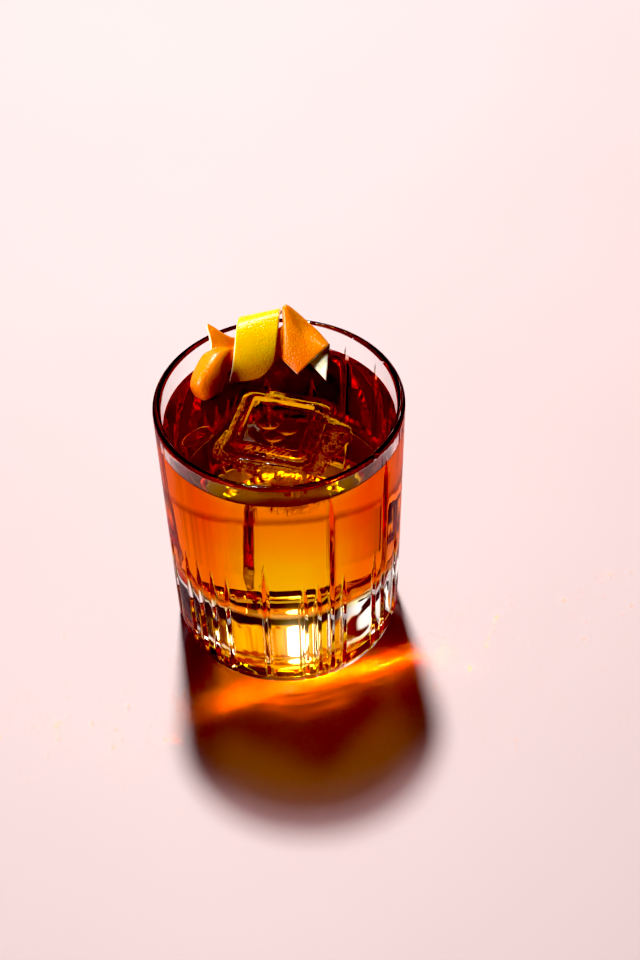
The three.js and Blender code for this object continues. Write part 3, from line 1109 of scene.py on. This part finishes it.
@dataclass
class Peel:
    """A pared strip of rind: a sheet through rails, with rounded cut edges.

    Attributes:
        name: The piece's name.
        node: The CAD node that it stands for.
        finish: Its finish.
        rails: Points that the sheet runs through, as rails x stations x 3.
        thickness: Thickness of rind and pith.
        size: How long and wide the sheet is, to space its mesh.
        skin_behind: True where the rails run so that the skin is on the sheet's second face.
        along: How many rows its mesh has along its length, away from the edges.
        across: How many it has across.
    """

    name: str
    node: str
    finish: Finish
    rails: Array
    thickness: float = 1.4
    size: tuple[float, float] = (34.0, 16.0)
    skin_behind: bool = False
    along: int = 150
    across: int = 84

    @staticmethod
    def places(count: int, length: float, edge: float) -> Array:
        """Gives places along a side, close together near both ends."""
        even = np.linspace(0.0, 1.0, count)
        near = np.array([0.0, 0.04, 0.12, 0.28, 0.55, 1.0]) * edge / length
        middle = near[-1] + (1.0 - 2.0 * near[-1]) * even
        return np.concatenate([near[:-1], middle, 1.0 - near[-2::-1]])

    def build(self) -> Piece:
        """Builds the sheet's two faces, which close along one shared edge.

        The middle surface is a smooth curve across rails that are smooth curves along. Each
        face stands off it by half the thickness times a quarter-circle's rise over the
        width of the edge.

        Returns:
            The peel.
        """
        edge = self.thickness * 0.5
        u = self.places(self.along, self.size[0], edge)
        v = self.places(self.across, self.size[1], edge)
        rails = spline(self.rails.transpose(1, 0, 2), u)
        middle = spline(rails.transpose(1, 0, 2), v).transpose(1, 0, 2)
        normal = np.cross(np.gradient(middle, axis=0), np.gradient(middle, axis=1))
        normal /= np.linalg.norm(normal, axis=-1, keepdims=True)
        du = np.minimum(u, 1.0 - u)[:, None] * self.size[0]
        dv = np.minimum(v, 1.0 - v)[None, :] * self.size[1]
        inside = np.clip(np.minimum(du, dv) / edge, 0.0, 1.0)
        rise = np.sqrt(1.0 - (1.0 - inside) ** 2)[..., None] * self.thickness / 2.0
        front, back = middle + normal * rise, middle - normal * rise
        rows, columns = middle.shape[:2]
        index = np.arange(rows * columns).reshape(rows, columns)
        rim = np.zeros((rows, columns), bool)
        rim[[0, -1], :] = True
        rim[:, [0, -1]] = True
        other = np.where(rim, index, 0)
        other[~rim] = rows * columns + np.arange((~rim).sum())
        points = np.concatenate([front.reshape(-1, 3), back[~rim]])
        face = [index[:-1, :-1], index[1:, :-1], index[1:, 1:], index[:-1, 1:]]
        rear = [other[:-1, :-1], other[:-1, 1:], other[1:, 1:], other[1:, :-1]]
        quads = np.concatenate([
            np.stack(face, axis=-1).reshape(-1, 4), np.stack(rear, axis=-1).reshape(-1, 4),
        ])
        piece = add_mesh(self.name, points, quads, np.zeros((0, 3), int), SHARP_PEEL)
        skin = ease(0.15, 0.6, inside)
        pith = np.zeros_like(skin)
        outer, inner = (pith, skin) if self.skin_behind else (skin, pith)
        paint(piece, "rind", lambda *_: np.concatenate([outer.ravel(), inner[~rim]]))
        finish_piece(piece, self.finish, self.node)
        return piece


# Lemon peel: its left and right edges, from the drink at the front over to the rim, and its
# lower edge, whose right corner is rounded off.
LEMON_LEFT = np.array([
    [-16.9, 18.4, 89.6], [-16.0, 19.6, 93.0], [-14.9, 24.2, 98.0], [-14.2, 29.2, 101.8],
    [-13.6, 33.4, 102.8], [-13.2, 37.0, 101.6], [-13.0, 39.0, 99.9],
])
LEMON_RIGHT = np.array([
    [-1.4, 24.3, 93.6], [-0.9, 25.6, 96.5], [-0.3, 28.0, 99.8], [0.3, 31.2, 102.8],
    [0.8, 35.2, 104.8], [1.2, 38.2, 104.0], [1.4, 40.0, 101.6],
])
LEMON_FOOT = np.array([
    [-16.9, 18.4, 89.6], [-11.6, 18.8, 89.5], [-6.0, 20.3, 89.7], [-1.4, 24.3, 93.6],
])


def lemon_rails() -> Array:
    """Gives the lemon peel's rails, spread evenly from its left edge to its right one."""
    share = np.linspace(0.0, 1.0, len(LEMON_FOOT))[:, None, None]
    rails = LEMON_LEFT * (1.0 - share) + LEMON_RIGHT * share
    rails[:, 0] = LEMON_FOOT
    return rails


# Orange peel: each rail runs from the lobe on the left, through the band, to the kite on the
# right. They are the lower front edge, the belly, the ridge, the valley behind it, the back
# leaf with its spike, and the back edge with its tail.
ORANGE_RAILS = np.array([
    [
        [-27.8, 11.4, 90.4], [-24.3, 9.4, 90.2], [-19.7, 12.8, 90.4],
        [-17.7, 21.0, 91.6], [-8.5, 24.4, 93.4], [0.6, 26.0, 93.2],
        [2.2, 24.6, 92.4], [4.2, 22.6, 91.4], [6.1, 20.7, 90.4],
    ],
    [
        [-29.2, 14.4, 92.6], [-25.6, 13.1, 96.0], [-20.2, 16.8, 96.6],
        [-16.9, 23.6, 94.8], [-8.5, 26.8, 95.6], [1.4, 28.6, 97.2],
        [2.7, 28.2, 98.6], [6.4, 25.4, 95.8], [9.4, 22.5, 92.8],
    ],
    [
        [-25.5, 22.8, 97.4], [-21.9, 21.0, 99.2], [-18.0, 23.6, 98.8],
        [-15.6, 27.4, 96.4], [-8.5, 29.4, 97.6], [1.8, 31.2, 99.8],
        [2.7, 32.6, 103.4], [7.8, 28.7, 99.2], [12.9, 24.4, 95.2],
    ],
    [
        [-22.6, 24.9, 99.0], [-20.4, 26.2, 98.8], [-17.8, 26.8, 97.6],
        [-14.8, 29.2, 95.8], [-8.5, 31.2, 97.8], [2.2, 33.8, 100.8],
        [2.6, 36.8, 106.6], [8.4, 30.7, 99.9], [15.9, 26.0, 97.0],
    ],
    [
        [-23.8, 32.3, 103.4], [-21.3, 31.3, 102.2], [-18.9, 30.6, 100.4],
        [-14.4, 31.8, 97.0], [-8.5, 33.2, 97.2], [3.0, 34.8, 98.8],
        [5.4, 37.4, 101.8], [12.2, 33.2, 99.0], [17.0, 28.4, 95.6],
    ],
    [
        [-22.0, 30.4, 99.2], [-19.0, 30.2, 96.8], [-16.6, 30.4, 95.0],
        [-13.6, 31.0, 93.6], [-8.5, 32.0, 93.4], [3.4, 32.4, 94.0],
        [6.2, 31.4, 93.0], [10.0, 26.8, 90.6], [15.6, 17.8, 89.9],
    ],
])


@dataclass
class Studio:
    """The plain table, the soft lamps and the camera.

    Attributes:
        garnish: The pieces that have a lamp of their own.
    """

    garnish: list[Piece]
    # The camera's place and axes in the tumbler's frame, found from the rim and foot.
    camera_place: tuple[float, float, float] = (12.614, -442.454, 510.238)
    camera_ahead: tuple[float, float, float] = (0.0, 0.70170012, -0.71247241)
    camera_right: tuple[float, float, float] = (0.99959826, -0.02019362, -0.0198883)
    lens: float = 70.0
    floor_size: float = 4000.0
    floor_level: float = -0.04
    horizon: str = "D0BCBA"
    gloom: str = "1C1614"
    card_colours: tuple[tuple[float, ...], ...] = (
        (0.45, 0.05, 0.002, 1.0), (1.3, 0.50, 0.02, 1.0),
    )
    panel_colour: tuple[float, float, float, float] = (1.3, 1.15, 1.05, 1.0)
    # The bare lamp behind the key's cloth: the direction that it is seen in, the cosines at
    # the outside and the inside of its edge, and its colour.
    hot_spot: tuple[float, float, float] = (-0.0554, 0.6337, 0.7716)
    hot_edge: tuple[float, float] = (0.9984, 0.9993)
    hot_colour: tuple[float, float, float, float] = (26.0, 20.0, 9.0, 1.0)
    # Each lamp's name, place in metres, width in metres, watts and colour.
    lamps: tuple[Lamp, ...] = (
        ("key", (-0.095, 0.75, 1.37), 0.15, 24.0, "FFFBF8"),
        ("halo", (-0.09, 0.73, 1.42), 0.42, 0.7, "FFFBF8"),
        ("fill", (-0.45, -1.05, 0.40), 0.5, 0.7, "FFDCE4"),
    )
    garnish_lamp: Lamp = ("garnish_lamp", (-0.95, -0.34, 0.68), 0.4, 16.0, "FFF8F0")
    # What the view takes for black and for white, which clears the glass of a grey veil.
    black_level: tuple[float, float, float] = (0.024, 0.040, 0.033)
    white_level: tuple[float, float, float] = (0.93, 0.93, 0.93)
    bloom: dict[str, float] = field(default_factory=lambda: {
        "Threshold": 1.6, "Strength": 0.35, "Size": 0.35, "Maximum": 12.0,
    })
    bounces: int = 32
    glossy_bounces: int = 8
    indirect_limit: float = 8.0

    def floor(self) -> None:
        """Lays the table under the foot."""
        half, level = self.floor_size / 2.0, self.floor_level
        points = np.array([
            [-half, -half, level], [half, -half, level], [half, half, level], [-half, half, level],
        ])
        mesh = bpy.data.meshes.new("table")
        mesh.from_pydata((points * MM).tolist(), [], [(0, 1, 2, 3)])
        table = bpy.data.objects.new("table", mesh)
        bpy.context.scene.collection.objects.link(table)
        Finish.TABLE.dress(table)

    def lamp(
        self, name: str, place: tuple[float, float, float], size: float, watts: float, colour: str,
        only: bpy.types.Collection | None = None,
    ) -> None:
        """Hangs a soft round lamp that faces the tumbler.

        Args:
            name: The lamp's name.
            place: Where it hangs, in metres.
            size: Its width in metres.
            watts: Its power.
            colour: Its colour as sRGB hex.
            only: The pieces that it lights, or None for all.
        """
        data = bpy.data.lights.new(name, "AREA")
        data.shape = "DISK"
        data.size = size
        data.energy = watts
        data.color = linear(colour)[:3]
        lamp = bpy.data.objects.new(name, data)
        bpy.context.scene.collection.objects.link(lamp)
        lamp.location = place
        aim = Vector((0.0, 0.0, 0.05)) - Vector(place)
        lamp.rotation_euler = aim.to_track_quat("-Z", "Y").to_euler()
        if only is not None:
            lamp.light_linking.receiver_collection = only

    def world(self) -> None:
        """Surrounds the table with a dim room, which only the glass and the gloss show.

        The room is pale at the horizon and dark above it, and has soft panels overhead and
        at the left. A warm, folded card hangs behind the table, at the height that the
        tumbler's foot mirrors to the front, with the bare lamp's disc before it. Light that
        has bounced off a matt surface doesn't see the room.
        """
        world = bpy.data.worlds.new("room")
        world.use_nodes = True
        world.cycles_visibility.diffuse = False
        graph = Graph(world.node_tree)
        ray = graph.read("ShaderNodeTexCoord", "Generated")
        x, y, up = graph.add("ShaderNodeSeparateXYZ", {0: ray}).outputs
        # Each ramp runs between two values of one part of the ray's direction.
        behind = graph.ramp(y, -0.1, 0.2)
        panels = graph.noise(ray, 7.0, 1.0)
        overhead = graph.product(
            graph.ramp(up, 0.79, 0.84), behind, graph.ramp(panels, 0.44, 0.56),
        )
        side = graph.product(
            graph.ramp(x, -0.25, -0.45), graph.ramp(up, 0.3, 0.45),
            graph.ramp(panels, 0.42, 0.52),
        )
        card = graph.product(
            graph.ramp(up, 0.71, 0.745), graph.ramp(up, 0.88, 0.85),
            graph.ramp(graph.maths("ABSOLUTE", x), 0.5, 0.2), behind,
        )
        folds = graph.ramp(graph.noise(ray, 14.0, 2.0), 0.38, 0.62)
        near = graph.read(
            "ShaderNodeVectorMath", "Value", {0: ray, 1: self.hot_spot},
            {"operation": "DOT_PRODUCT"},
        )
        colour = linear(self.horizon)
        for share, tone in (
            (graph.ramp(up, 0.2, 0.55), linear(self.gloom)),
            (overhead, self.panel_colour),
            (side, self.panel_colour),
            (card, graph.blend(folds, *self.card_colours)),
            (graph.ramp(near, *self.hot_edge), self.hot_colour),
        ):
            colour = graph.blend(share, colour, tone)
        bounced = graph.read("ShaderNodeLightPath", "Diffuse Depth")
        unbounced = graph.maths("LESS_THAN", bounced, 0.5)
        light = graph.read("ShaderNodeBackground", 0, {0: colour, 1: unbounced})
        graph.add("ShaderNodeOutputWorld", {0: light})
        bpy.context.scene.world = world

    def camera(self) -> None:
        """Sets the camera at the photograph's angle, with plain upright framing."""
        data = bpy.data.cameras.new("camera")
        data.lens = self.lens
        data.sensor_width = 36.0
        data.clip_start = 0.01
        ahead, right = Vector(self.camera_ahead), Vector(self.camera_right)
        up = right.cross(ahead)
        matrix = Matrix((right, up, -ahead)).transposed().to_4x4()
        matrix.translation = Vector(self.camera_place) * MM
        camera = bpy.data.objects.new("camera", data)
        camera.matrix_world = matrix
        bpy.context.scene.collection.objects.link(camera)
        bpy.context.scene.camera = camera

    def build(self) -> None:
        """Sets up table, lamps, room, camera and how light is followed."""
        self.floor()
        self.world()
        for lamp in self.lamps:
            self.lamp(*lamp)
        garnish = bpy.data.collections.new("garnish")
        for piece in self.garnish:
            garnish.objects.link(piece)
        self.lamp(*self.garnish_lamp, garnish)
        self.camera()
        scene = bpy.context.scene
        view = scene.view_settings
        view.view_transform = "Standard"
        view.use_curve_mapping = True
        view.curve_mapping.black_level = self.black_level
        view.curve_mapping.white_level = self.white_level
        view.curve_mapping.update()
        scene.use_nodes = True
        graph = Graph(scene.node_tree)
        glow = graph.read(
            "CompositorNodeGlare", "Image",
            {"Image": graph.read("CompositorNodeRLayers", "Image"), **self.bloom},
            {"glare_type": "BLOOM", "quality": "HIGH"},
        )
        graph.add("CompositorNodeComposite", {"Image": glow})
        scene.cycles.max_bounces = self.bounces
        scene.cycles.transmission_bounces = self.bounces
        scene.cycles.transparent_max_bounces = self.bounces
        scene.cycles.glossy_bounces = self.glossy_bounces
        scene.cycles.sample_clamp_indirect = self.indirect_limit
        scene.cycles.caustics_refractive = False
        scene.cycles.caustics_reflective = False


def main() -> None:
    """Builds the tumbler, the ice, the drink, the peels and the studio, in that order."""
    logging.basicConfig(level=logging.INFO, format="%(name)s: %(message)s")
    tumbler = Tumbler()
    tumbler.build()
    block = IceBlock()
    block.build()
    chip = IceChip()
    chip.build()
    Drink(tumbler, block, chip).build()
    lemon = Peel("lemon_band", "lemon_peel", Finish.LEMON, lemon_rails(), skin_behind=True)
    orange = Peel("orange_wings", "orange_peel", Finish.ORANGE, ORANGE_RAILS, size=(52.0, 26.0))
    Studio([lemon.build(), orange.build()]).build()


if __name__ == "__main__":
    main()
